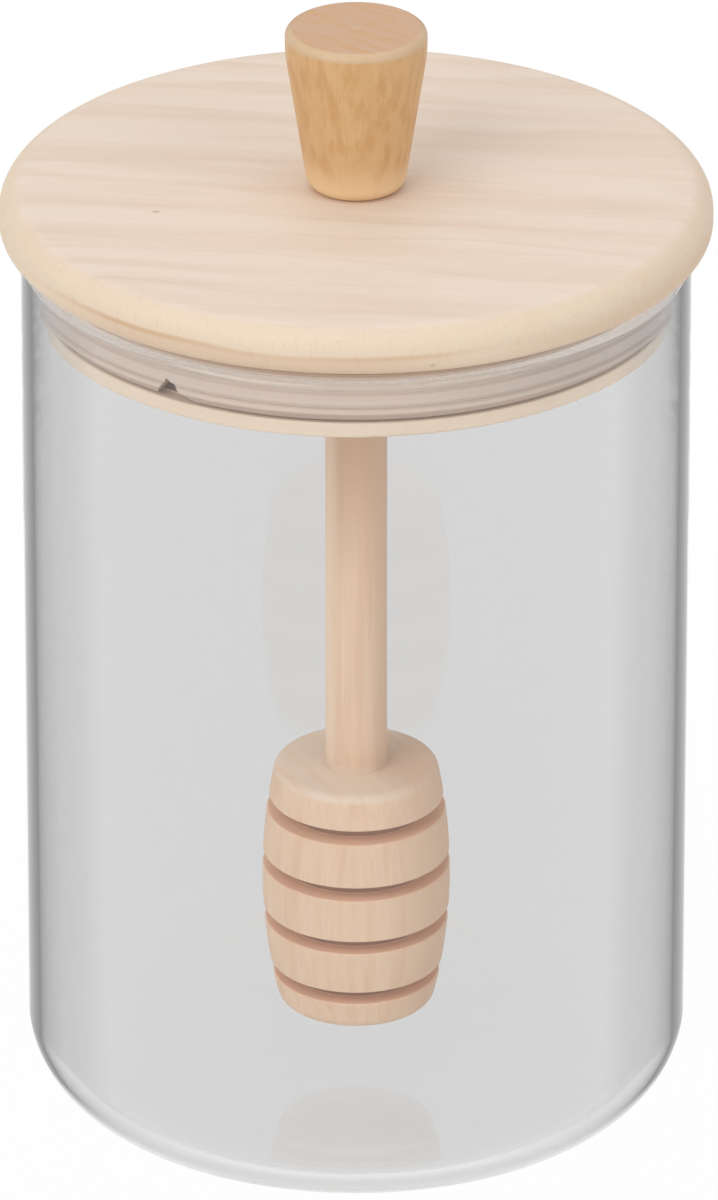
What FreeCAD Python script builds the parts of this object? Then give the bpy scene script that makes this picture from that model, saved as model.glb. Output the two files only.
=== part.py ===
import FreeCAD, Part

import math
import os

# Honey pot: a straight glass jar with a push-in wooden lid, and a honey dipper that hangs from the
# lid into the jar. Millimetres, +Z up. The origin is the middle of the jar's flat base and Z is the
# axis that every piece is turned about. The jar is empty.

# Jar, blown as one piece of clear glass
jar_radius = 48.0
jar_height = 133.25
glass_wall = 2.1
glass_floor = 2.5
jar_foot_round = 12.5
rim_flat = 0.002

# Lid: a disc with a stepped plug below it, turned from one board
lid_radius = 51.0
lid_thickness = 6.8
lid_top_round = 3.6
lid_under_round = 2.0
lid_rim_gap = 2.25
plug_radius = 45.0
plug_depth = 11.75
plug_lip_height = 2.35
plug_land_height = 2.0
plug_edge_round = 0.5
seal_groove_depth = 2.0

# Seal: a soft ring with flat ribs that press against the inside of the jar and a sloping underside
seal_height = 7.0
seal_rib_count = 3
seal_rib_depth = 0.35
seal_valley_width = 0.3
seal_valley_slope = 0.3
seal_under_width = 1.2
seal_under_height = 1.5
seal_nick_width = 6.2
seal_nick_height = 3.3
seal_nick_lean = 0.6
seal_nick_angle = 34.0

# Dipper: a round rod and a grooved barrel head, turned from one stick
rod_radius = 4.5
rod_in_knob = 12.0
head_bottom = 12.7
head_height = 37.8
head_radius = 13.7
head_widest = 17.5
barrel_radius = 82.0
head_shoulder_round = 1.4
head_bottom_round = 2.0
groove_count = 4
groove_first = 6.1
groove_pitch = 8.7
groove_width = 2.0
groove_depth = 2.65
groove_edge_round = 0.25

# Knob: a tapered peg, wider at the top, that the rod ends in
knob_radius = 10.15
knob_height = 24.4
knob_taper_angle = 8.8
knob_crown_height = 3.6
knob_flare_round = 24.0
knob_top_round = 1.2
knob_foot_round = 2.0

# Points nearer than this are one point
same_place = 1e-6

# Places that follow from the sizes
bore_radius = jar_radius - glass_wall
lid_underside = jar_height + lid_rim_gap
lid_top = lid_underside + lid_thickness
plug_bottom = lid_underside - plug_depth
seal_top = lid_underside - plug_land_height
seal_bottom = seal_top - seal_height
groove_floor_radius = plug_radius - seal_groove_depth
head_top = head_bottom + head_height


def point(radius, height):
    """A point of a profile, at this distance from the axis and this height."""
    return FreeCAD.Vector(radius, 0, height)


def turned(edges):
    """The solid that a closed profile sweeps in one turn about the axis."""
    face = Part.Face(Part.Wire(edges))
    return face.revolve(FreeCAD.Vector(0, 0, 0), FreeCAD.Vector(0, 0, 1), 360)


def rounded_profile(corners):
    """Edges of a closed profile through corners of (radius, height, rounding)."""
    arcs = []
    for index, (radius, height, rounding) in enumerate(corners):
        corner = point(radius, height)
        before = point(*corners[index - 1][:2]) - corner
        after = point(*corners[(index + 1) % len(corners)][:2]) - corner
        before.normalize()
        after.normalize()
        half_angle = before.getAngle(after) / 2
        reach = rounding / math.tan(half_angle)
        inward = before + after
        if rounding:
            inward.normalize()
        crest = corner + inward * (rounding / math.sin(half_angle) - rounding)
        arcs.append((corner + before * reach, crest, corner + after * reach))
    edges = []
    for index, (start, crest, end) in enumerate(arcs):
        if corners[index][2]:
            edges.append(Part.Arc(start, crest, end).toShape())
        following = arcs[(index + 1) % len(arcs)][0]
        if end.distanceToPoint(following) > same_place:
            edges.append(Part.LineSegment(end, following).toShape())
    return edges


def rounded_edges(solid, rings, rounding):
    """The solid with its level edges rounded over, at rings of (least radius, height)."""
    chosen = []
    for edge in solid.Edges:
        box = edge.BoundBox
        for least_radius, height in rings:
            level = max(abs(box.ZMin - height), abs(box.ZMax - height)) < same_place
            if level and box.XMax > least_radius:
                chosen.append(edge)
    return solid.makeFillet(rounding, chosen)


def make_jar():
    """Straight wall, rounded foot, level floor and a rim rounded right over by the flame."""
    rim_round = (glass_wall - rim_flat) / 2
    return turned(rounded_profile([
        (0, 0, 0),
        (jar_radius, 0, jar_foot_round),
        (jar_radius, jar_height, rim_round),
        (bore_radius, jar_height, rim_round),
        (bore_radius, glass_floor, jar_foot_round - glass_wall),
        (0, glass_floor, 0),
    ]))


def make_lid():
    """Disc with rounded edges, plug with a groove for the seal, and a bore for the rod."""
    lip_top = plug_bottom + plug_lip_height
    return turned(rounded_profile([
        (rod_radius, plug_bottom, 0),
        (plug_radius, plug_bottom, plug_edge_round),
        (plug_radius, lip_top, plug_edge_round / 2),
        (groove_floor_radius, lip_top, 0),
        (groove_floor_radius, seal_top, 0),
        (plug_radius, seal_top, 0),
        (plug_radius, lid_underside, 0),
        (lid_radius, lid_underside, lid_under_round),
        (lid_radius, lid_top, lid_top_round),
        (rod_radius, lid_top, 0),
    ]))


def make_seal():
    """Ring in the plug's groove with evenly spaced ribs, and the small nick in its lower edge."""
    valley_radius = bore_radius - seal_rib_depth
    corners = [
        (groove_floor_radius, seal_bottom, 0),
        (bore_radius - seal_under_width, seal_bottom, 0),
        (bore_radius, seal_bottom + seal_under_height, 0),
    ]
    spacing = seal_height / seal_rib_count
    for valley in range(1, seal_rib_count):
        middle = seal_bottom + spacing * valley
        half_foot = seal_valley_width / 2
        half_mouth = half_foot + seal_valley_slope
        corners += [
            (bore_radius, middle - half_mouth, 0),
            (valley_radius, middle - half_foot, 0),
            (valley_radius, middle + half_foot, 0),
            (bore_radius, middle + half_mouth, 0),
        ]
    corners += [
        (bore_radius, seal_top - seal_valley_slope, 0),
        (valley_radius, seal_top, 0),
        (groove_floor_radius, seal_top, 0),
    ]
    return turned(rounded_profile(corners)).cut(make_seal_nick())


def make_seal_nick():
    """Three-cornered notch, cut right through the ring from below."""
    inside = groove_floor_radius - seal_groove_depth
    corners = [
        FreeCAD.Vector(-seal_nick_width / 2, -inside, seal_bottom),
        FreeCAD.Vector(seal_nick_width / 2, -inside, seal_bottom),
        FreeCAD.Vector(-seal_nick_lean, -inside, seal_bottom + seal_nick_height),
    ]
    face = Part.Face(Part.makePolygon(corners + corners[:1]))
    notch = face.extrude(FreeCAD.Vector(0, -seal_groove_depth - plug_radius, 0))
    notch.rotate(FreeCAD.Vector(0, 0, 0), FreeCAD.Vector(0, 0, 1), -seal_nick_angle)
    return notch


def barrel_profile_radius(height):
    """Radius of the dipper head's smooth barrel at a height, before the grooves."""
    drop = height - (head_top - head_widest)
    return head_radius - barrel_radius + math.sqrt(barrel_radius ** 2 - drop ** 2)


def make_dipper():
    """Barrel head with deep square grooves that leave the honey discs, and the rod above it."""
    bottom_end = point(barrel_profile_radius(head_bottom), head_bottom)
    widest = point(head_radius, head_top - head_widest)
    top_end = point(barrel_profile_radius(head_top), head_top)
    barrel = turned([
        Part.LineSegment(point(0, head_bottom), bottom_end).toShape(),
        Part.Arc(bottom_end, widest, top_end).toShape(),
        Part.LineSegment(top_end, point(0, head_top)).toShape(),
        Part.LineSegment(point(0, head_top), point(0, head_bottom)).toShape(),
    ])
    barrel = rounded_edges(barrel, [(rod_radius, head_top)], head_shoulder_round)
    barrel = rounded_edges(barrel, [(rod_radius, head_bottom)], head_bottom_round)
    mouths = []
    for groove in range(groove_count):
        middle = head_top - groove_first - groove_pitch * groove
        low = middle - groove_width / 2
        floor_radius = barrel_profile_radius(middle) - groove_depth
        start = FreeCAD.Vector(0, 0, low)
        ring = Part.makeCylinder(head_radius + groove_depth, groove_width, start)
        core = Part.makeCylinder(floor_radius, groove_width, start)
        barrel = barrel.cut(ring.cut(core))
        for side in (low, low + groove_width):
            mouths.append((barrel_profile_radius(side) - groove_depth / 2, side))
    barrel = rounded_edges(barrel, mouths, groove_edge_round)
    rod = Part.makeCylinder(rod_radius, lid_top + rod_in_knob - head_top, FreeCAD.Vector(0, 0, head_top))
    return barrel.fuse(rod).removeSplitter()


def make_knob():
    """Peg that tapers down to a rounded foot, with a softened flat top and a bore for the rod."""
    top = lid_top + knob_height
    flare = top - knob_crown_height
    foot_radius = knob_radius - (flare - lid_top) * math.tan(math.radians(knob_taper_angle))
    return turned(rounded_profile([
        (rod_radius, lid_top, 0),
        (foot_radius, lid_top, knob_foot_round),
        (knob_radius, flare, knob_flare_round),
        (knob_radius, top, knob_top_round),
        (0, top, 0),
        (0, lid_top + rod_in_knob, 0),
        (rod_radius, lid_top + rod_in_knob, 0),
    ]))


def main():
    os.makedirs("parts", exist_ok=True)
    pieces = {
        "jar": make_jar(),
        "lid": make_lid(),
        "seal": make_seal(),
        "dipper": make_dipper(),
        "knob": make_knob(),
    }
    for node, shape in pieces.items():
        shape.exportStep(os.path.join("parts", node + ".step"))
        print(node, "solids", len(shape.Solids), "valid", shape.isValid(), "volume", round(shape.Volume))


main()
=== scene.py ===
import math

import bmesh
import bpy
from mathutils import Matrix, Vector


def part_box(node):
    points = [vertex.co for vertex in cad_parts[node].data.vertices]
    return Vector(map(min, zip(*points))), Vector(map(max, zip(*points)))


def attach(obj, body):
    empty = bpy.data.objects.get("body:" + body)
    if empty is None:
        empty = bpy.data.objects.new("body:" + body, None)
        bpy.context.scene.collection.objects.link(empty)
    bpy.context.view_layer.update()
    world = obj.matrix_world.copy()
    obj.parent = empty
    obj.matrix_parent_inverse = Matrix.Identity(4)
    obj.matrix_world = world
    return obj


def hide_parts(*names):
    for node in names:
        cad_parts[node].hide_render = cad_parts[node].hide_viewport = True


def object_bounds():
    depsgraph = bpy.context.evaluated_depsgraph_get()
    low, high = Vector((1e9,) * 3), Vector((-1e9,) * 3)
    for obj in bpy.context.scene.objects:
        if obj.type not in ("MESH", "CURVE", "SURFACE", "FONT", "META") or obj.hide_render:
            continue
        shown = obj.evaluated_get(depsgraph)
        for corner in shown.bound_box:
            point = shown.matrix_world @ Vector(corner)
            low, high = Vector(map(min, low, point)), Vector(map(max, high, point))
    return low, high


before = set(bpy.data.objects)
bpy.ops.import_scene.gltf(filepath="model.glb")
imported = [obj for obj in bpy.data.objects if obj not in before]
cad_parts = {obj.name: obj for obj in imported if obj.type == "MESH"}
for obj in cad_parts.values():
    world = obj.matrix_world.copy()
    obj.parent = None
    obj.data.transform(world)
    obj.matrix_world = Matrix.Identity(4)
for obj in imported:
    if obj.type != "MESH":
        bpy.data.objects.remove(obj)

bl_info = {
    "name": "Honey Pot",
    "version": (1, 0, 0),
    "blender": (4, 5, 0),
    "location": "3D View > Sidebar > Honey Pot",
    "description": "Glass honey jar with a wooden lid, its seal, a knob and a honey dipper",
    "category": "Object",
}

CAD_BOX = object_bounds()
JAR_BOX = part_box("jar")
LID_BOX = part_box("lid")
SEAL_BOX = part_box("seal")
KNOB_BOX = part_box("knob")
MILLIMETRE = 0.001
WHITE = (1.0, 1.0, 1.0)

# Air between the top of the glass and the lid's underside
LID_GAP = 0.00225

# Points nearer to the axis than this lie on it, and a face that leans less than this counts as level
ON_AXIS = 1e-7
LEVEL_LEAN = 0.0001

# The jar's outline: steps in each rounding, the rim's rounding as a share of half the wall, and the rings
# of faces on the flat floor as shares of its radius
ROUNDING_STEPS = 28
RIM_SHARE = 0.98
FLOOR_RINGS = (0.0, 0.2, 0.5, 0.8, 0.95, 0.99)

# Painted shade on the outer glass, standing in for dark surroundings seen at its edges: how much of the
# light it lets through, from seen square on (0) to seen edge on (1)
PAINTED_EDGE_SHADE = (
    (0.42, 1.0), (0.50, 0.76), (0.60, 0.58), (0.66, 0.38),
    (0.74, 0.05), (0.76, 0.0), (0.91, 0.0), (0.94, 1.0),
)

# Heights, as shares of the foot's rounding, over which the foot's tint ends and the wall's edge tint starts
FOOT_FADE = (0.5, 0.66)
WALL_FADE = (0.32, 0.68)

# Roughness of the glass at its flame-rounded rim
RIM_BLUR = 0.12

# Grain of each wood: pith, line spacing and patch size in millimetres, and amounts from 0 to 1
LID_GRAIN = {
    "Pith": (72.0, 9.0, 0.0), "Line Spacing": 2.4, "Line Amount": 0.6, "Patch Amount": 0.6,
    "Patch Size": (4.5, 4.5, 60.0), "Fibre Amount": 0.16, "Pore Amount": 0.04,
}
DIPPER_GRAIN = {
    "Pith": (26.0, 14.0, 0.0), "Line Spacing": 2.3, "Line Amount": 0.5, "Patch Amount": 0.8,
    "Patch Size": (1.8, 1.8, 45.0), "Fibre Amount": 0.2, "Pore Amount": 0.04,
}
KNOB_GRAIN = {
    "Pith": (-34.0, 22.0, 0.0), "Line Spacing": 3.1, "Line Amount": 0.35, "Patch Amount": 0.75,
    "Patch Size": (1.6, 1.6, 5.0), "Fibre Amount": 0.2, "Pore Amount": 0.08,
}

# Waves to the metre, along X, Y and Z, of each noise that colours one piece
LAYER_WAVES = (28.0, 28.0, 0.0)
LAYER_STRENGTH_WAVES = (22.0, 22.0, 40.0)
EDGE_PORE_WAVES = (1500.0, 1500.0, 330.0)
CLOUD_WAVES = (160.0, 160.0, 700.0)
HEAD_STREAK_WAVES = (90.0, 700.0, 0.0)
CROWN_STREAK_WAVES = (110.0, 620.0, 0.0)

# Least and greatest roughness of each finish, and the depth of its relief in metres
LID_SURFACE = (0.52, 0.66, 0.00006)
SEAL_SURFACE = (0.35, 0.5, 0.00002)
DIPPER_SURFACE = (0.5, 0.65, 0.00005)
KNOB_SURFACE = (0.42, 0.58, 0.00005)

# How far a mask reaches past the piece that it colours, in millimetres
BEYOND = 1.0

# How far the grain is turned on the lid, the top of the dipper's head and the top of the knob, in degrees
LID_GRAIN_TURN = 7.0
HEAD_GRAIN_TURN = 62.0
CROWN_GRAIN_TURN = 35.0

# Middle and size of each small dark mark on the lid, in millimetres
LID_FLECKS = (
    ((-28.4, -9.3, 142.3), (0.8, 0.6, 1.0)),
    ((-19.8, -46.2, 136.5), (0.6, 0.5, 0.5)),
    ((10.6, -49.6, 137.0), (0.6, 0.5, 0.5)),
)

# Lamps: name, place, width and the setting that holds the power
LAMPS = (
    ("Key Lamp", (-1.2, -1.3, 1.4), 1.8, "key_power"),
    ("Fill Lamp", (1.4, -1.1, 1.0), 1.8, "fill_power"),
    ("Top Lamp", (-0.1, 0.3, 2.2), 2.0, "top_power"),
)
FLOOR_SIDES = 96
SENSOR_WIDTH = 36.0
CAMERA_NEAR = 0.05
CAMERA_FAR = 30.0


# Settings that a user would change

def colour_setting(name, description, colour):
    return bpy.props.FloatVectorProperty(
        name=name, description=description, subtype="COLOR", size=3, min=0.0, max=1.0, default=colour)


def length_setting(name, description, length):
    return bpy.props.FloatProperty(
        name=name, description=description, subtype="DISTANCE", unit="LENGTH", min=0.0, default=length)


class HoneyPotGlass(bpy.types.PropertyGroup):
    """The blown glass jar."""
    wall: length_setting("Wall", "Thickness of the jar's side wall", 0.0021)
    floor: length_setting("Floor", "Thickness of the jar's flat floor", 0.0025)
    foot_round: length_setting("Foot Rounding", "Radius that the wall turns into the floor with", 0.0125)
    seal_room: length_setting("Seal Room", "Gap kept between the glass and the seal's ribs", 0.00005)
    turns: bpy.props.IntProperty(name="Turns", description="Faces round the jar", min=24, default=720)
    # Painted shade: the grey of the back wall and the tint of the foot stand in for the darker room seen
    # through the glass
    painted_room_grey: colour_setting("Glass", "How much light one wall lets through", (0.654, 0.654, 0.654))
    foot: colour_setting("Foot", "How much light the jar's rounded foot lets through", (0.66, 0.66, 0.655))


class HoneyPotWood(bpy.types.PropertyGroup):
    """The pale wood of the lid."""
    pale: colour_setting("Pale Wood", "Main colour of the board", (0.815, 0.685, 0.57))
    ring: colour_setting("Growth Line", "Colour of the board's fine growth lines", (0.70, 0.52, 0.39))
    blush: colour_setting("Blush", "Warm patches along the grain", (0.76, 0.595, 0.475))
    edge: colour_setting("Edge", "Yellower wood of the rounded edge", (0.775, 0.625, 0.465))
    # Painted shade: the darker lower band on the edge stands in for shade where light from above falls
    # less; the orange line marks its top
    painted_under_shade: colour_setting("Under Layer", "Darker growth layer at the foot of the edge", (0.70, 0.52, 0.37))
    line: colour_setting("Layer Line", "Orange line where the two layers meet", (0.60, 0.36, 0.18))
    layer_height: length_setting("Layer Height", "Height of that line above the lid's underside", 0.0031)
    # Painted shade: the dark wood behind the seal stands in for the shade in the seal's groove
    painted_seal_groove_shade: colour_setting("Hidden Wood", "Wood behind the seal", (0.16, 0.095, 0.06))
    fleck: colour_setting("Fleck", "Small dark pin flecks", (0.30, 0.19, 0.12))


class HoneyPotSeal(bpy.types.PropertyGroup):
    """The soft ring that presses against the glass."""
    colour: colour_setting("Ring", "Colour of the milky silicone", (0.68, 0.555, 0.465))
    # Painted shade: the ring greys towards its left and right sides
    side: colour_setting("Ring Side", "Greyer colour of the ring towards its sides", (0.525, 0.44, 0.385))
    # Painted shade: the darker foot and nick stand in for the shade under the ring and inside its nick
    body: colour_setting("Ring Body", "Darker colour of the ring's foot and nick", (0.50, 0.37, 0.285))


class HoneyPotDipper(bpy.types.PropertyGroup):
    """The honey dipper's rod and grooved head."""
    pale: colour_setting("Pale Wood", "Main colour of the turned stick", (0.765, 0.548, 0.382))
    streak: colour_setting("Streak", "Warmer streaks along the stick", (0.71, 0.47, 0.30))
    end_grain: colour_setting("End Grain", "Greyer top face of the head", (0.77, 0.63, 0.51))
    # Painted shadow: the darker rod top stands in for the lid's shadow on the rod
    shaded: colour_setting("Rod Top", "Darker wood of the rod under the lid", (0.59, 0.375, 0.22))
    shaded_height: length_setting("Rod Top Height", "Height above which the rod is fully dark", 0.107)
    # Painted shade on the right side of the stick, away from the key lamp
    painted_right_shade: colour_setting("Heart Side", "Browner wood along one side of the stick", (0.62, 0.415, 0.28))
    # Painted light on the left side of the rod, towards the key lamp
    painted_left_light: colour_setting("Sap Side", "Paler wood along the other side of the rod", (0.86, 0.68, 0.53))
    groove: colour_setting("Groove", "Raw wood at the sides of the grooves", (0.80, 0.51, 0.335))
    # Painted shade: the dark groove floor stands in for the shade deep in each groove
    painted_groove_floor_shade: colour_setting("Groove Floor", "Raw wood deep in the grooves", (0.34, 0.19, 0.115))
    groove_first: length_setting("First Groove", "From the head's top to the first groove's middle", 0.0061)
    groove_pitch: length_setting("Groove Pitch", "From one groove to the next", 0.0087)
    groove_width: length_setting("Groove Width", "Height of each groove", 0.002)
    head_top: length_setting("Head Top", "Height of the head's top face", 0.0505)


class HoneyPotKnob(bpy.types.PropertyGroup):
    """The tapered knob."""
    amber: colour_setting("Amber Wood", "Main colour of the knob's side", (0.69, 0.43, 0.205))
    dark: colour_setting("Dark Mottle", "Darker patches along the knob's side", (0.60, 0.325, 0.125))
    crown: colour_setting("Crown", "Colour of the end grain on top", (0.61, 0.385, 0.25))
    # The rim is partly a pale rubbed chamfer and partly a painted highlight; the back rim is painted shade
    rim: colour_setting("Rim", "Rubbed edge round the front of the top", (0.63, 0.45, 0.285))
    painted_back_rim_shade: colour_setting("Back Rim", "Darker edge round the back of the top", (0.42, 0.255, 0.14))
    # Painted light: the lighter foot offsets the shade where the knob meets the lid
    painted_foot_light: colour_setting("Foot", "Lighter wood at the knob's foot", (0.88, 0.64, 0.385))


class HoneyPotStage(bpy.types.PropertyGroup):
    """Floor, light and camera."""
    floor_colour: colour_setting("Floor", "Colour of the floor", (0.90, 0.90, 0.90))
    floor_radius: length_setting("Floor Radius", "Half width of the floor", 9.0)
    floor_gap: length_setting("Floor Gap", "Air left under the jar's flat base", 0.0003)
    shade_radius: length_setting("Shade Radius", "How far from the jar the floor still shows shade", 0.30)
    key_power: bpy.props.FloatProperty(
        name="Key Light", description="Power of the large lamp at the left", subtype="POWER", default=19.0)
    fill_power: bpy.props.FloatProperty(
        name="Fill Light", description="Power of the large lamp at the right", subtype="POWER", default=8.0)
    top_power: bpy.props.FloatProperty(
        name="Top Light", description="Power of the large lamp overhead", subtype="POWER", default=11.0)
    world_light: bpy.props.FloatProperty(
        name="Room Light", description="Strength of the even light from all round", default=0.5)
    bounces: bpy.props.IntProperty(
        name="Bounces", description="How often light may bounce or pass through glass", min=8, default=128)
    camera_distance: length_setting("Camera Distance", "From the camera to the point it looks at", 2.2)
    camera_rise: bpy.props.FloatProperty(
        name="Camera Rise", description="How far the camera looks down", subtype="ANGLE", unit="ROTATION",
        default=math.radians(25.8))
    camera_lens: bpy.props.FloatProperty(
        name="Lens", description="Focal length", subtype="DISTANCE_CAMERA", unit="CAMERA", default=456.7)
    aim: bpy.props.FloatVectorProperty(
        name="Aim", description="Point that the camera looks at", subtype="TRANSLATION", unit="LENGTH",
        size=3, default=(0.0004, 0.0, 0.0765))


# Mesh building

def rounded_outline(corners, steps):
    """Points of an open outline through corners of (radius, height, rounding)."""
    outline = []
    for index, (radius, height, rounding) in enumerate(corners):
        corner = Vector((radius, height))
        if not rounding:
            outline.append(corner)
            continue
        before = (Vector(corners[index - 1][:2]) - corner).normalized()
        after = (Vector(corners[index + 1][:2]) - corner).normalized()
        half_angle = before.angle(after) / 2
        centre = corner + (before + after).normalized() * rounding / math.sin(half_angle)
        first = corner + before * rounding / math.tan(half_angle) - centre
        last = corner + after * rounding / math.tan(half_angle) - centre
        sweep = math.pi - 2 * half_angle
        for step in range(steps + 1):
            share = step / steps
            spoke = first * math.sin((1 - share) * sweep) + last * math.sin(share * sweep)
            outline.append(centre + spoke / math.sin(sweep))
    return outline


def turned_mesh(name, outline, turns):
    """Mesh of an outline turned about the Z axis, closed where the outline meets the axis."""
    mesh = bpy.data.meshes.new(name)
    build = bmesh.new()
    rings = []
    for radius, height in outline:
        if radius < ON_AXIS:
            rings.append([build.verts.new((0.0, 0.0, height))])
            continue
        ring = []
        for turn in range(turns):
            angle = 2 * math.pi * turn / turns
            ring.append(build.verts.new((radius * math.cos(angle), radius * math.sin(angle), height)))
        rings.append(ring)
    for lower, upper in zip(rings, rings[1:]):
        for turn in range(turns):
            following = (turn + 1) % turns
            corners = [lower[turn % len(lower)], lower[following % len(lower)],
                       upper[following % len(upper)], upper[turn % len(upper)]]
            build.faces.new(list(dict.fromkeys(corners)))
    bmesh.ops.recalc_face_normals(build, faces=build.faces)
    for face in build.faces:
        face.smooth = True
    build.to_mesh(mesh)
    build.free()
    return mesh


def new_piece(name, mesh, material):
    """A visible piece that rides on the root body."""
    piece = bpy.data.objects.new(name, mesh)
    bpy.context.scene.collection.objects.link(piece)
    mesh.materials.append(material)
    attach(piece, "root")
    return piece


def finish_node(node, material):
    """Gives a node of the frame its finish."""
    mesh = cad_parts[node].data
    mesh.materials.clear()
    mesh.materials.append(material)


# Shader node helpers

class Sheet:
    """Nodes of one material or node group, placed from left to right."""

    def __init__(self, tree):
        self.tree = tree
        self.count = 0

    def add(self, kind, inputs=None, **settings):
        node = self.tree.nodes.new(kind)
        node.location = (200 * (self.count % 8), -260 * (self.count // 8))
        self.count += 1
        for key, value in settings.items():
            setattr(node, key, value)
        for key, value in (inputs or {}).items():
            self.feed(node.inputs[key], value)
        return node

    def feed(self, socket, value):
        """Links a socket to another, or sets the constant that it holds."""
        if isinstance(value, bpy.types.NodeSocket):
            self.tree.links.new(value, socket)
        elif socket.type == "RGBA":
            socket.default_value = (*value, 1.0)
        else:
            socket.default_value = value

    def math(self, operation, first, second=0.0, third=0.0):
        node = self.add("ShaderNodeMath", {0: first, 1: second, 2: third}, operation=operation)
        return node.outputs[0]

    def vectors(self, operation, *vectors):
        """What a vector operation gives: a length, or else a vector."""
        node = self.add("ShaderNodeVectorMath", dict(enumerate(vectors)), operation=operation)
        return node.outputs["Value" if operation == "LENGTH" else "Vector"]

    def scaled(self, vector, scale):
        return self.vectors("MULTIPLY", vector, scale)

    def in_mm(self, vector):
        return self.scaled(vector, (1 / MILLIMETRE, 1 / MILLIMETRE, 1 / MILLIMETRE))

    def height(self, place):
        return self.add("ShaderNodeSeparateXYZ", {0: place}).outputs["Z"]

    def bearing(self, place):
        """Which way a point lies from the axis: X runs from -1 at the left to 1, Y from -1 at the front."""
        spoke = self.vectors("NORMALIZE", self.scaled(place, (1.0, 1.0, 0.0)))
        return self.add("ShaderNodeSeparateXYZ", {0: spoke}).outputs

    def clamped(self, value, low, high, to_low=0.0, to_high=1.0):
        """The value's smooth step from low to high."""
        node = self.add("ShaderNodeMapRange", {
            "Value": value, "From Min": low, "From Max": high, "To Min": to_low, "To Max": to_high,
        }, interpolation_type="SMOOTHSTEP")
        return node.outputs["Result"]

    def noise(self, vector, scale=1.0, detail=2.0, roughness=0.5):
        node = self.add("ShaderNodeTexNoise", {
            "Vector": vector, "Scale": scale, "Detail": detail, "Roughness": roughness})
        return node.outputs["Fac"]

    def mixed(self, factor, first, second):
        node = self.add("ShaderNodeMix", data_type="RGBA")
        self.feed(node.inputs[0], factor)
        self.feed(node.inputs[6], first)
        self.feed(node.inputs[7], second)
        return node.outputs[2]

    def tinted(self, colour, mask, amount, other):
        """The colour, with this much of another one where the mask is 1."""
        return self.mixed(self.math("MULTIPLY", mask, amount), colour, other)

    def seen_rays(self):
        """1 for rays that show the background itself: straight, mirrored or through the glass."""
        rays = self.add("ShaderNodeLightPath").outputs
        seen = self.math("MAXIMUM", rays["Is Camera Ray"], rays["Is Glossy Ray"])
        return self.math("MAXIMUM", seen, rays["Is Transmission Ray"])

    def place(self, group, inputs):
        node = self.add("ShaderNodeGroup", node_tree=group)
        for key, value in inputs.items():
            self.feed(node.inputs[key], value)
        return node.outputs


def new_group(name, inputs, outputs):
    """An empty node group with named sockets of (name, kind, default)."""
    tree = bpy.data.node_groups.new(name, "ShaderNodeTree")
    for label, kind, default in inputs:
        socket = tree.interface.new_socket(label, in_out="INPUT", socket_type=kind)
        if default is not None:
            socket.default_value = default
    for label, kind in outputs:
        tree.interface.new_socket(label, in_out="OUTPUT", socket_type=kind)
    sheet = Sheet(tree)
    entry = sheet.add("NodeGroupInput")
    return sheet, entry.outputs


def close_group(sheet, outputs):
    """Joins a group's results to its outputs."""
    sheet.add("NodeGroupOutput", outputs)
    return sheet.tree


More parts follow.
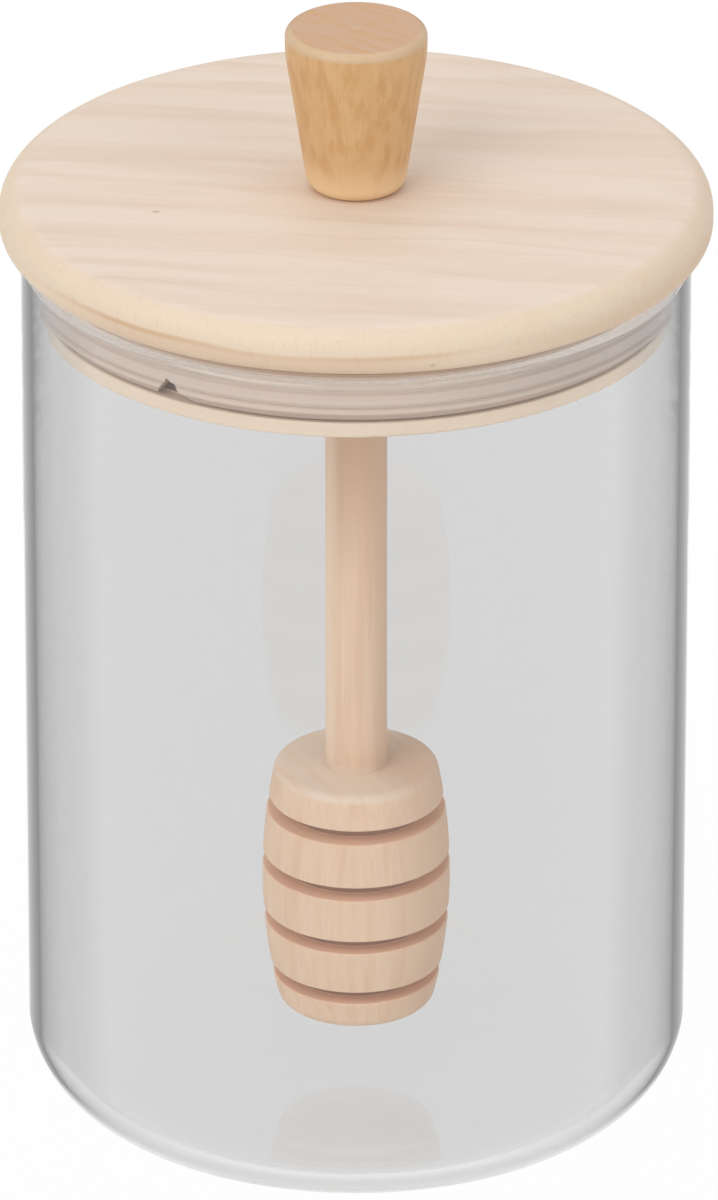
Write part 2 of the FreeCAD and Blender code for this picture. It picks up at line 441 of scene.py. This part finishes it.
def wood_grain_group():
    """Solid wood whose grain runs along Z: growth lines round a pith, streaks, fibres and pores."""
    name = "Wood Grain"
    if name in bpy.data.node_groups:
        return bpy.data.node_groups[name]
    sheet, given = new_group(name, [
        ("Vector", "NodeSocketVector", None),
        ("Pith", "NodeSocketVector", (0.0, 0.0, 0.0)),
        ("Line Spacing", "NodeSocketFloat", 2.5),
        ("Line Amount", "NodeSocketFloat", 0.5),
        ("Patch Amount", "NodeSocketFloat", 0.5),
        ("Patch Size", "NodeSocketVector", (7.0, 7.0, 50.0)),
        ("Fibre Amount", "NodeSocketFloat", 0.1),
        ("Pore Amount", "NodeSocketFloat", 0.3),
        ("Wood Color", "NodeSocketColor", (0.8, 0.67, 0.55, 1.0)),
        ("Line Color", "NodeSocketColor", (0.7, 0.52, 0.38, 1.0)),
        ("Patch Color", "NodeSocketColor", (0.8, 0.6, 0.47, 1.0)),
    ], [
        ("Color", "NodeSocketColor"),
        ("Height", "NodeSocketFloat"),
    ])
    in_mm = sheet.in_mm(given["Vector"])
    drift = sheet.noise(sheet.scaled(in_mm, (0.06, 0.06, 0.012)), detail=2.0)
    from_pith = sheet.vectors("SUBTRACT", in_mm, given["Pith"])
    radius = sheet.vectors("LENGTH", sheet.scaled(from_pith, (1.0, 1.0, 0.0)))
    radius = sheet.math("MULTIPLY_ADD", drift, 9.0, radius)
    year = sheet.math("FRACT", sheet.math("DIVIDE", radius, given["Line Spacing"]))
    line = sheet.math("POWER", year, 2.2)
    line = sheet.math("MULTIPLY", line, sheet.clamped(year, 0.9, 1.0, 1.0, 0.0))
    vary = sheet.noise(sheet.scaled(in_mm, (0.35, 0.35, 0.02)), detail=3.0, roughness=0.6)
    line = sheet.math("MULTIPLY", line, sheet.clamped(vary, 0.3, 0.75))
    line = sheet.math("MULTIPLY", line, given["Line Amount"])
    spread = sheet.vectors("DIVIDE", in_mm, given["Patch Size"])
    patch = sheet.clamped(sheet.noise(spread, detail=3.0), 0.42, 0.7)
    patch = sheet.math("MULTIPLY", patch, given["Patch Amount"])
    fibre = sheet.noise(sheet.scaled(in_mm, (2.6, 2.6, 0.09)), detail=3.0, roughness=0.65)
    pore = sheet.clamped(sheet.noise(sheet.scaled(in_mm, (3.4, 3.4, 0.5)), detail=1.0), 0.66, 0.74)
    pore = sheet.math("MULTIPLY", pore, given["Pore Amount"])
    colour = sheet.mixed(patch, given["Wood Color"], given["Patch Color"])
    colour = sheet.mixed(line, colour, given["Line Color"])
    level = sheet.math("MULTIPLY_ADD", sheet.math("SUBTRACT", fibre, 0.5), given["Fibre Amount"], 1.0)
    level = sheet.math("SUBTRACT", level, pore)
    colour = sheet.add("ShaderNodeVectorMath", {0: colour, "Scale": level}, operation="SCALE").outputs[0]
    height = sheet.math("SUBTRACT", fibre, sheet.math("MULTIPLY", pore, 2.0))
    return close_group(sheet, {"Color": colour, "Height": height})


def turned_band_group():
    """Mask of the part of a turned surface between two radii and two heights, in millimetres."""
    name = "Turned Band"
    if name in bpy.data.node_groups:
        return bpy.data.node_groups[name]
    sheet, given = new_group(name, [
        ("Vector", "NodeSocketVector", None),
        ("Inner Radius", "NodeSocketFloat", 0.0),
        ("Outer Radius", "NodeSocketFloat", 100.0),
        ("Low", "NodeSocketFloat", 0.0),
        ("High", "NodeSocketFloat", 100.0),
        ("Softness", "NodeSocketFloat", 0.5),
    ], [("Mask", "NodeSocketFloat")])
    in_mm = sheet.in_mm(given["Vector"])
    radius = sheet.vectors("LENGTH", sheet.scaled(in_mm, (1.0, 1.0, 0.0)))
    height = sheet.height(in_mm)
    masks = []
    for value, low, high in (
        (radius, given["Inner Radius"], given["Outer Radius"]), (height, given["Low"], given["High"]),
    ):
        below = sheet.math("SUBTRACT", low, given["Softness"])
        above = sheet.math("ADD", high, given["Softness"])
        masks.append(sheet.clamped(value, below, low))
        masks.append(sheet.clamped(value, high, above, 1.0, 0.0))
    mask = masks[0]
    for other in masks[1:]:
        mask = sheet.math("MULTIPLY", mask, other)
    return close_group(sheet, {"Mask": mask})


def pin_fleck_group():
    """Mask of one small dark mark, longer along the grain, in millimetres."""
    name = "Pin Fleck"
    if name in bpy.data.node_groups:
        return bpy.data.node_groups[name]
    sheet, given = new_group(name, [
        ("Vector", "NodeSocketVector", None),
        ("Place", "NodeSocketVector", (0.0, 0.0, 0.0)),
        ("Size", "NodeSocketVector", (1.5, 0.5, 0.5)),
    ], [("Mask", "NodeSocketFloat")])
    in_mm = sheet.in_mm(given["Vector"])
    away = sheet.vectors("SUBTRACT", in_mm, given["Place"])
    away = sheet.vectors("LENGTH", sheet.vectors("DIVIDE", away, given["Size"]))
    ragged = sheet.noise(in_mm, scale=1.6, detail=2.0)
    away = sheet.math("MULTIPLY_ADD", ragged, 0.9, away)
    return close_group(sheet, {"Mask": sheet.clamped(away, 0.6, 1.5, 1.0, 0.0)})


def new_material(name):
    """A material with its Principled shader and output, and the object's own coordinates."""
    material = bpy.data.materials.new(name)
    material.use_nodes = True
    material.node_tree.nodes.clear()
    sheet = Sheet(material.node_tree)
    place = sheet.add("ShaderNodeTexCoord").outputs["Object"]
    shader = sheet.add("ShaderNodeBsdfPrincipled")
    output = sheet.add("ShaderNodeOutputMaterial")
    sheet.feed(output.inputs["Surface"], shader.outputs[0])
    return material, sheet, place, shader, output


def surfaced(sheet, shader, colour, height, surface):
    """Gives a shader its colour, and roughness and relief that follow this height."""
    smooth, rough, depth = surface
    sheet.feed(shader.inputs["Base Color"], colour)
    sheet.feed(shader.inputs["Roughness"], sheet.clamped(height, 0.2, 0.8, smooth, rough))
    bump = sheet.add("ShaderNodeBump", {"Height": height, "Distance": depth, "Strength": 1.0})
    sheet.feed(shader.inputs["Normal"], bump.outputs[0])


def spans(box):
    """A turned piece's radius, foot and top, in millimetres."""
    return box[1].x / MILLIMETRE, box[0].z / MILLIMETRE, box[1].z / MILLIMETRE


def banded(sheet, place, low, high, softness, inner=0.0, outer=100.0):
    """Mask of a turned surface between two heights and two radii, in millimetres."""
    return sheet.place(turned_band_group(), {
        "Vector": place, "Inner Radius": inner, "Outer Radius": outer,
        "Low": low, "High": high, "Softness": softness})["Mask"]


# Finishes

def clear_glass(name):
    """Clear glass. Lamp light and the light between the pieces pass straight through it."""
    material, sheet, place, shader, output = new_material(name)
    shader.inputs["Roughness"].default_value = 0.0
    shader.inputs["IOR"].default_value = 1.5
    shader.inputs["Transmission Weight"].default_value = 1.0
    clear = sheet.add("ShaderNodeBsdfTransparent")
    rays = sheet.add("ShaderNodeLightPath").outputs
    soft = sheet.math("MAXIMUM", rays["Is Shadow Ray"], rays["Is Diffuse Ray"])
    mix = sheet.add("ShaderNodeMixShader", {0: soft, 1: shader.outputs[0], 2: clear.outputs[0]})
    sheet.feed(output.inputs["Surface"], mix.outputs[0])
    behind = sheet.add("ShaderNodeNewGeometry").outputs["Backfacing"]
    return material, sheet, place, shader, behind


def soften_rim(sheet, place, shader, glass):
    """Blurs the glass a little at its rim, and gives back the rim's mask."""
    top = JAR_BOX[1].z
    rim = sheet.clamped(sheet.height(place), top - glass.wall, top - glass.wall / 2)
    sheet.feed(shader.inputs["Roughness"], sheet.math("MULTIPLY", rim, RIM_BLUR))
    return rim


def glass_inside_finish(glass):
    """The inner side of the wall takes its tint from light that enters it, except at the clear rim. This
    grey tint is painted shade standing in for the darker room seen through the back wall.
    """
    material, sheet, place, shader, behind = clear_glass("Glass Inside")
    clear = sheet.math("MAXIMUM", behind, soften_rim(sheet, place, shader, glass))
    sheet.feed(shader.inputs["Base Color"], sheet.mixed(clear, glass.painted_room_grey[:], WHITE))
    return material


def glass_outside_finish(glass):
    """The outer side is tinted at the foot, and above it darkens where it is seen edge on. Both are painted
    shade standing in for darker surroundings seen through the glass.
    """
    material, sheet, place, shader, behind = clear_glass("Glass Outside")
    # Painted shade: the glass lets less light through where it is seen edge on
    facing = sheet.add("ShaderNodeLayerWeight", {"Blend": 0.5}).outputs["Facing"]
    painted_edge_ramp = sheet.add("ShaderNodeValToRGB", {"Fac": facing})
    while len(painted_edge_ramp.color_ramp.elements) < len(PAINTED_EDGE_SHADE):
        painted_edge_ramp.color_ramp.elements.new(1.0)
    for stop, (at, share) in zip(painted_edge_ramp.color_ramp.elements, PAINTED_EDGE_SHADE):
        stop.position = at
        stop.color = (share, share, share, 1.0)
    in_rounding = sheet.math("DIVIDE", sheet.height(place), glass.foot_round)
    # Painted shade: the foot's tint stands in for the darker room seen through the foot
    foot = sheet.mixed(sheet.clamped(in_rounding, *FOOT_FADE), glass.foot[:], WHITE)
    edge = sheet.mixed(sheet.clamped(in_rounding, *WALL_FADE), foot, painted_edge_ramp.outputs["Color"])
    soften_rim(sheet, place, shader, glass)
    sheet.feed(shader.inputs["Base Color"], sheet.mixed(behind, edge, glass.painted_room_grey[:]))
    return material


def board_grain(sheet, place, turn_degrees):
    """Coordinates turned so that grain along Z of the wood runs across a level face."""
    askew = sheet.add("ShaderNodeVectorRotate", {
        "Vector": place, "Angle": math.radians(turn_degrees)}, rotation_type="Z_AXIS").outputs[0]
    laid = sheet.add("ShaderNodeMapping", {"Vector": askew, "Rotation": (0.0, math.radians(90.0), 0.0)})
    return laid.outputs[0]


def pale_wood_finish(wood):
    """Pale board with a yellower edge and lip, painted shade on the lower edge and on the wood behind the
    seal, an orange growth line and a few small dark marks.
    """
    material, sheet, place, shader, _ = new_material("Pale Lid Wood")
    grain = sheet.place(wood_grain_group(), {
        **LID_GRAIN, "Vector": board_grain(sheet, place, LID_GRAIN_TURN),
        "Wood Color": wood.pale[:], "Line Color": wood.ring[:], "Patch Color": wood.blush[:]})
    wide, low, high = spans(LID_BOX)
    seal_wide, seal_low, seal_high = spans(SEAL_BOX)
    edge_depth, edge_softness, crisp, groove_depth = 1.5, 1.6, 0.3, 2.0
    edge = banded(sheet, place, low, high + BEYOND, edge_softness, wide - edge_depth, wide + BEYOND)
    lip = banded(sheet, place, low - BEYOND, seal_low - crisp, crisp)
    # Painted shade in the groove behind the seal
    painted_seal_groove_shade = banded(sheet, place, seal_low, seal_high, crisp, 0.0, seal_wide - groove_depth)
    colour = sheet.tinted(grain["Color"], edge, 0.8, wood.edge[:])
    colour = sheet.tinted(colour, lip, 0.7, wood.edge[:])
    colour = edge_layers(sheet, place, colour, wood, edge)
    colour = sheet.mixed(painted_seal_groove_shade, colour, wood.painted_seal_groove_shade[:])
    for spot, size in LID_FLECKS:
        mask = sheet.place(pin_fleck_group(), {"Vector": place, "Place": spot, "Size": size})["Mask"]
        colour = sheet.tinted(colour, mask, 0.55, wood.fleck[:])
    surfaced(sheet, shader, colour, grain["Height"], LID_SURFACE)
    return material


def edge_layers(sheet, place, colour, wood, edge):
    """Painted shade on the board's edge, a darker lower band at the front and on the right, with the orange
    growth line at the top of that band and the edge's short pores.
    """
    underside = JAR_BOX[1].z + LID_GAP
    waver, line_core, line_edge = 0.0024, 0.0001, 0.0006
    wave = sheet.noise(sheet.scaled(place, LAYER_WAVES))
    level = sheet.math("MULTIPLY_ADD", wave, waver, underside + wood.layer_height - waver / 2)
    above = sheet.math("SUBTRACT", sheet.height(place), level)
    right = sheet.bearing(place)["X"]
    from_left = sheet.clamped(right, -0.95, -0.6)
    to_right = sheet.clamped(right, 0.0, 0.45, 1.0, 0.0)
    shown = sheet.math("MULTIPLY", sheet.math("MULTIPLY", from_left, to_right), edge)
    # Painted shade on the right of the edge, away from the key lamp
    painted_right_edge_shade = sheet.math("MULTIPLY", sheet.clamped(right, 0.25, 0.75), edge)
    painted_under_shade = sheet.math("MULTIPLY", sheet.clamped(above, -0.0006, 0.0008, 1.0, 0.0), shown)
    colour = sheet.tinted(colour, painted_under_shade, 0.9, wood.painted_under_shade[:])
    low = sheet.math("MULTIPLY", sheet.clamped(above, -0.0015, 0.0015, 1.0, 0.0), painted_right_edge_shade)
    colour = sheet.tinted(colour, low, 0.8, wood.painted_under_shade[:])
    off = sheet.math("ABSOLUTE", above)
    line = sheet.math("MULTIPLY", sheet.clamped(off, line_core, line_edge, 1.0, 0.0), shown)
    strength = sheet.noise(sheet.scaled(place, LAYER_STRENGTH_WAVES))
    colour = sheet.tinted(colour, line, sheet.clamped(strength, 0.38, 0.66, 0.1, 0.7), wood.line[:])
    pores = sheet.noise(sheet.scaled(place, EDGE_PORE_WAVES))
    pores = sheet.math("MULTIPLY", sheet.clamped(pores, 0.55, 0.72), edge)
    return sheet.tinted(colour, pores, 0.13, wood.line[:])


def milky_seal_finish(seal):
    """Cloudy ring, with painted shade that greys it towards its sides and darkens its foot and its nick."""
    material, sheet, place, shader, _ = new_material("Milky Silicone")
    cloud = sheet.noise(sheet.scaled(place, CLOUD_WAVES))
    colour = sheet.mixed(cloud, seal.colour[:], [0.93 * part for part in seal.colour])
    # Painted shade towards the ring's left and right sides
    right = sheet.bearing(place)["X"]
    to_right = sheet.clamped(right, 0.1, 0.85)
    to_left = sheet.clamped(right, -0.9, -0.2, 0.45, 0.0)
    colour = sheet.mixed(sheet.math("MAXIMUM", to_right, to_left), colour, seal.side[:])
    wide, low, _ = spans(SEAL_BOX)
    body_height, skin, softness = 2.1, 0.4, 0.3
    # Painted shade on the ring's foot and in its nick
    body = banded(sheet, place, low - BEYOND, low + body_height, softness, 0.0, wide - skin)
    colour = sheet.mixed(body, colour, seal.body[:])
    shader.inputs["Subsurface Weight"].default_value = 0.15
    shader.inputs["Subsurface Radius"].default_value = (1.0, 0.8, 0.7)
    shader.inputs["Subsurface Scale"].default_value = MILLIMETRE
    surfaced(sheet, shader, colour, cloud, SEAL_SURFACE)
    return material


def dipper_wood_finish(dipper):
    """Pale turned stick, with end grain on the head, a painted shadow of the lid on the rod top, painted
    shade on the stick's right side and painted light on the rod's left, and raw wood in the grooves with
    painted shade on their floors.
    """
    material, sheet, place, shader, _ = new_material("Pale Dipper Wood")
    grain = sheet.place(wood_grain_group(), {
        **DIPPER_GRAIN, "Vector": place,
        "Wood Color": dipper.pale[:], "Line Color": dipper.streak[:], "Patch Color": dipper.streak[:]})
    head_top = dipper.head_top / MILLIMETRE
    across = sheet.scaled(board_grain(sheet, place, HEAD_GRAIN_TURN), HEAD_STREAK_WAVES)
    streaks = sheet.clamped(sheet.noise(across, detail=3.0, roughness=0.6), 0.42, 0.68, 0.0, 0.55)
    end_wood = sheet.mixed(streaks, dipper.end_grain[:], dipper.streak[:])
    rod_foot, shoulder, reach, softness = 4.8, 12.2, 0.5, 0.9
    end_face = banded(sheet, place, head_top - reach, head_top + reach, softness, rod_foot, shoulder)
    colour = sheet.tinted(grain["Color"], end_face, 0.85, end_wood)
    # Painted shadow of the lid on the rod's top
    shaded, lid_top, fade = dipper.shaded_height / MILLIMETRE, LID_BOX[1].z / MILLIMETRE, 30.0
    painted_lid_shadow_mask = banded(sheet, place, shaded, lid_top, fade)
    colour = sheet.mixed(painted_lid_shadow_mask, colour, dipper.shaded[:])
    height = sheet.height(place)
    right = sheet.bearing(place)["X"]
    # Painted shade on the stick's right side
    colour = sheet.mixed(sheet.clamped(right, 0.2, 1.0, 0.0, 0.75), colour, dipper.painted_right_shade[:])
    rod = sheet.clamped(height, dipper.head_top, dipper.head_top + 0.002)
    # Painted light on the rod's left side
    painted_left_light = sheet.math("MULTIPLY", rod, sheet.clamped(right, -0.95, -0.45, 0.6, 0.0))
    colour = sheet.mixed(painted_left_light, colour, dipper.painted_left_light[:])
    groove, floor = groove_masks(sheet, place, height, dipper)
    # Wood on the groove's sides, with painted shade on its floor
    groove_wood_and_painted_shade = sheet.mixed(floor, dipper.groove[:], dipper.painted_groove_floor_shade[:])
    surfaced(sheet, shader, sheet.mixed(groove, colour, groove_wood_and_painted_shade), grain["Height"], DIPPER_SURFACE)
    return material


def groove_masks(sheet, place, height, dipper):
    """Masks of the head's grooves and of their floors, both found from the height alone."""
    below = sheet.math("SUBTRACT", dipper.head_top - dipper.groove_first + dipper.groove_pitch / 2, height)
    turn = sheet.math("FRACT", sheet.math("DIVIDE", below, dipper.groove_pitch))
    off_middle = sheet.math("ABSOLUTE", sheet.math("SUBTRACT", turn, 0.5))
    half = dipper.groove_width / 2 / dipper.groove_pitch
    later_grooves = 3
    last = dipper.head_top - dipper.groove_first - later_grooves * dipper.groove_pitch
    lowest = last - dipper.groove_width
    top_land, softness, mouth_end, floor_start, floor_end = 4.0, 0.2, 1.12, 0.86, 0.95
    grooved = banded(sheet, place, lowest / MILLIMETRE, dipper.head_top / MILLIMETRE - top_land, softness)
    groove = sheet.math("MULTIPLY", sheet.clamped(off_middle, half, half * mouth_end, 1.0, 0.0), grooved)
    return groove, sheet.clamped(off_middle, half * floor_start, half * floor_end, 1.0, 0.0)


def amber_wood_finish(knob):
    """Mottled amber side with painted light at its foot, streaked end grain on top, and round the top a
    pale rubbed edge with a painted highlight at the front and painted shade at the back.
    """
    material, sheet, place, shader, _ = new_material("Amber Knob Wood")
    grain = sheet.place(wood_grain_group(), {
        **KNOB_GRAIN, "Vector": place,
        "Wood Color": knob.amber[:], "Line Color": knob.dark[:], "Patch Color": knob.dark[:]})
    wide, foot, top = spans(KNOB_BOX)
    crown_depth, crown_inset, rim_depth, rim_inset, rim_softness = 0.4, 1.0, 0.9, 0.7, 0.5
    ankle_below, ankle_height, ankle_fade, pip_radius = 5.0, 1.5, 5.5, 0.4
    crown = banded(sheet, place, top - crown_depth, top + BEYOND, crown_depth, 0.0, wide - crown_inset)
    rim = banded(sheet, place, top - rim_depth, top + BEYOND, rim_softness, wide - rim_inset, wide + BEYOND)
    # Painted light at the knob's foot
    painted_foot_light = banded(sheet, place, foot - ankle_below, foot + ankle_height, ankle_fade)
    pip = banded(sheet, place, top - crown_depth, top + BEYOND, rim_softness, 0.0, pip_radius)
    across = sheet.add("ShaderNodeVectorRotate", {
        "Vector": place, "Angle": math.radians(CROWN_GRAIN_TURN)}, rotation_type="Z_AXIS").outputs[0]
    streaks = sheet.noise(sheet.scaled(across, CROWN_STREAK_WAVES), detail=3.0, roughness=0.6)
    crown_wood = sheet.mixed(sheet.clamped(streaks, 0.35, 0.7, 0.0, 0.7), knob.crown[:], knob.dark[:])
    # Painted highlight at the front of the top edge and painted shade at its back
    back = sheet.clamped(sheet.bearing(place)["Y"], -0.2, 0.6)
    colour = sheet.tinted(grain["Color"], painted_foot_light, 0.75, knob.painted_foot_light[:])
    colour = sheet.mixed(crown, colour, crown_wood)
    colour = sheet.tinted(colour, rim, 0.9, sheet.mixed(back, knob.rim[:], knob.painted_back_rim_shade[:]))
    colour = sheet.tinted(colour, pip, 0.6, knob.rim[:])
    surfaced(sheet, shader, colour, grain["Height"], KNOB_SURFACE)
    return material


def floor_finish(stage):
    """Pale floor that seen rays meet as white, with the object's shade kept near it."""
    material, sheet, place, shader, output = new_material("Pale Floor")
    shader.inputs["Base Color"].default_value = (*stage.floor_colour, 1.0)
    shader.inputs["Roughness"].default_value = 0.9
    shader.inputs["Specular IOR Level"].default_value = 0.0
    glow = sheet.add("ShaderNodeEmission", {"Color": WHITE, "Strength": 1.0})
    away = sheet.vectors("LENGTH", place)
    plain = sheet.clamped(away, stage.shade_radius * 0.2, stage.shade_radius, 0.95, 1.0)
    mix = sheet.add("ShaderNodeMixShader", {
        0: sheet.math("MULTIPLY", sheet.seen_rays(), plain), 1: shader.outputs[0], 2: glow.outputs[0]})
    sheet.feed(output.inputs["Surface"], mix.outputs[0])
    return material


# Operators

class HONEYPOT_OT_glass_jar(bpy.types.Operator):
    """Blow the glass jar"""
    bl_idname = "honeypot.glass_jar"
    bl_label = "Glass Jar"

    def execute(self, context):
        glass = context.scene.honeypot_glass
        outer = JAR_BOX[1].x
        height = JAR_BOX[1].z
        foot = JAR_BOX[0].z
        bore = outer - glass.wall + glass.seal_room
        rim_round = (outer - bore) / 2 * RIM_SHARE
        flat = outer - glass.foot_round
        rings = [flat * share for share in FLOOR_RINGS]
        outline = rounded_outline([
            *[(radius, foot, 0.0) for radius in rings],
            (outer, foot, glass.foot_round),
            (outer, height, rim_round),
            (bore, height, rim_round),
            (bore, foot + glass.floor, glass.foot_round - glass.wall),
            *[(radius, foot + glass.floor, 0.0) for radius in reversed(rings)],
        ], ROUNDING_STEPS)
        mesh = turned_mesh("glass_jar", outline, glass.turns)
        jar = new_piece("glass_jar", mesh, glass_outside_finish(glass))
        mesh.materials.append(glass_inside_finish(glass))
        for face in mesh.polygons:
            outward = face.normal.dot((face.center.x, face.center.y, 0.0))
            if outward < -LEVEL_LEAN or face.normal.z > LEVEL_LEAN or face.center.z > height - rim_round:
                face.material_index = 1
        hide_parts("jar")
        return {"FINISHED"}


class HONEYPOT_OT_wooden_lid(bpy.types.Operator):
    """Finish the lid in pale wood"""
    bl_idname = "honeypot.wooden_lid"
    bl_label = "Wooden Lid"

    def execute(self, context):
        finish_node("lid", pale_wood_finish(context.scene.honeypot_wood))
        return {"FINISHED"}


class HONEYPOT_OT_seal(bpy.types.Operator):
    """Finish the seal in milky silicone"""
    bl_idname = "honeypot.seal"
    bl_label = "Seal"

    def execute(self, context):
        finish_node("seal", milky_seal_finish(context.scene.honeypot_seal))
        return {"FINISHED"}


class HONEYPOT_OT_dipper(bpy.types.Operator):
    """Finish the dipper in pale turned wood"""
    bl_idname = "honeypot.dipper"
    bl_label = "Dipper"

    def execute(self, context):
        finish_node("dipper", dipper_wood_finish(context.scene.honeypot_dipper))
        return {"FINISHED"}


class HONEYPOT_OT_knob(bpy.types.Operator):
    """Finish the knob in amber wood"""
    bl_idname = "honeypot.knob"
    bl_label = "Knob"

    def execute(self, context):
        finish_node("knob", amber_wood_finish(context.scene.honeypot_knob))
        return {"FINISHED"}


class HONEYPOT_OT_stage(bpy.types.Operator):
    """Lay the floor, hang the lamps and set the camera"""
    bl_idname = "honeypot.stage"
    bl_label = "Stage"

    def execute(self, context):
        stage = context.scene.honeypot_stage
        scene = context.scene
        scene.view_settings.view_transform = "Standard"
        scene.cycles.max_bounces = stage.bounces
        scene.cycles.glossy_bounces = stage.bounces
        scene.cycles.transmission_bounces = stage.bounces
        scene.cycles.transparent_max_bounces = stage.bounces
        self.lay_floor(scene, stage)
        self.light_room(scene, stage)
        for name, place, width, power in LAMPS:
            self.hang_lamp(scene, name, place, width, getattr(stage, power))
        self.set_camera(scene, stage)
        return {"FINISHED"}

    def lay_floor(self, scene, stage):
        """A wide level disc just below the jar's base."""
        mesh = bpy.data.meshes.new("floor")
        build = bmesh.new()
        bmesh.ops.create_circle(build, cap_ends=True, segments=FLOOR_SIDES, radius=stage.floor_radius)
        build.to_mesh(mesh)
        build.free()
        floor = bpy.data.objects.new("floor", mesh)
        floor.location.z = CAD_BOX[0].z - stage.floor_gap
        mesh.materials.append(floor_finish(stage))
        scene.collection.objects.link(floor)

    def light_room(self, scene, stage):
        """Even light from all round, which seen rays meet as plain white."""
        world = bpy.data.worlds.new("Soft Room")
        world.use_nodes = True
        world.node_tree.nodes.clear()
        sheet = Sheet(world.node_tree)
        strength = sheet.clamped(sheet.seen_rays(), 0.0, 1.0, stage.world_light, 1.0)
        room = sheet.add("ShaderNodeBackground", {"Color": WHITE, "Strength": strength})
        output = sheet.add("ShaderNodeOutputWorld")
        sheet.feed(output.inputs["Surface"], room.outputs[0])
        scene.world = world

    def hang_lamp(self, scene, name, place, width, power):
        """A round soft lamp that points at the pot and is not seen itself."""
        lamp = bpy.data.lights.new(name, "AREA")
        lamp.shape = "DISK"
        lamp.size = width
        lamp.energy = power
        holder = bpy.data.objects.new(name, lamp)
        holder.location = place
        aim = Vector((0.0, 0.0, CAD_BOX[1].z / 2)) - holder.location
        holder.rotation_euler = aim.to_track_quat("-Z", "Y").to_euler()
        holder.visible_camera = False
        holder.visible_transmission = False
        scene.collection.objects.link(holder)

    def set_camera(self, scene, stage):
        """The camera stands in front of the pot and looks down at it."""
        lens = bpy.data.cameras.new("Camera")
        lens.lens = stage.camera_lens
        lens.sensor_width = SENSOR_WIDTH
        lens.clip_start = CAMERA_NEAR
        lens.clip_end = CAMERA_FAR
        camera = bpy.data.objects.new("Camera", lens)
        back = Vector((0.0, -math.cos(stage.camera_rise), math.sin(stage.camera_rise)))
        camera.location = Vector(stage.aim) + back * stage.camera_distance
        camera.rotation_euler = (-back).to_track_quat("-Z", "Y").to_euler()
        scene.collection.objects.link(camera)
        scene.camera = camera


class HONEYPOT_PT_panel(bpy.types.Panel):
    """Lists the honey pot's pieces with their settings"""
    bl_idname = "HONEYPOT_PT_panel"
    bl_label = "Honey Pot"
    bl_space_type = "VIEW_3D"
    bl_region_type = "UI"
    bl_category = "Honey Pot"

    def draw(self, context):
        for operator, settings in PIECES:
            box = self.layout.box()
            box.operator(operator.bl_idname)
            group = getattr(context.scene, settings)
            for key in group.__annotations__:
                box.prop(group, key)


SETTINGS = {
    "honeypot_glass": HoneyPotGlass,
    "honeypot_wood": HoneyPotWood,
    "honeypot_seal": HoneyPotSeal,
    "honeypot_dipper": HoneyPotDipper,
    "honeypot_knob": HoneyPotKnob,
    "honeypot_stage": HoneyPotStage,
}
PIECES = [
    (HONEYPOT_OT_glass_jar, "honeypot_glass"),
    (HONEYPOT_OT_wooden_lid, "honeypot_wood"),
    (HONEYPOT_OT_seal, "honeypot_seal"),
    (HONEYPOT_OT_dipper, "honeypot_dipper"),
    (HONEYPOT_OT_knob, "honeypot_knob"),
    (HONEYPOT_OT_stage, "honeypot_stage"),
]
CLASSES = [*SETTINGS.values(), *(operator for operator, _ in PIECES), HONEYPOT_PT_panel]


def register():
    for item in CLASSES:
        bpy.utils.register_class(item)
    for name, group in SETTINGS.items():
        setattr(bpy.types.Scene, name, bpy.props.PointerProperty(type=group))


def unregister():
    for name in SETTINGS:
        delattr(bpy.types.Scene, name)
    for item in reversed(CLASSES):
        bpy.utils.unregister_class(item)


def main():
    register()
    bpy.ops.honeypot.glass_jar()
    bpy.ops.honeypot.wooden_lid()
    bpy.ops.honeypot.seal()
    bpy.ops.honeypot.dipper()
    bpy.ops.honeypot.knob()
    bpy.ops.honeypot.stage()


if __name__ == "__main__":
    main()
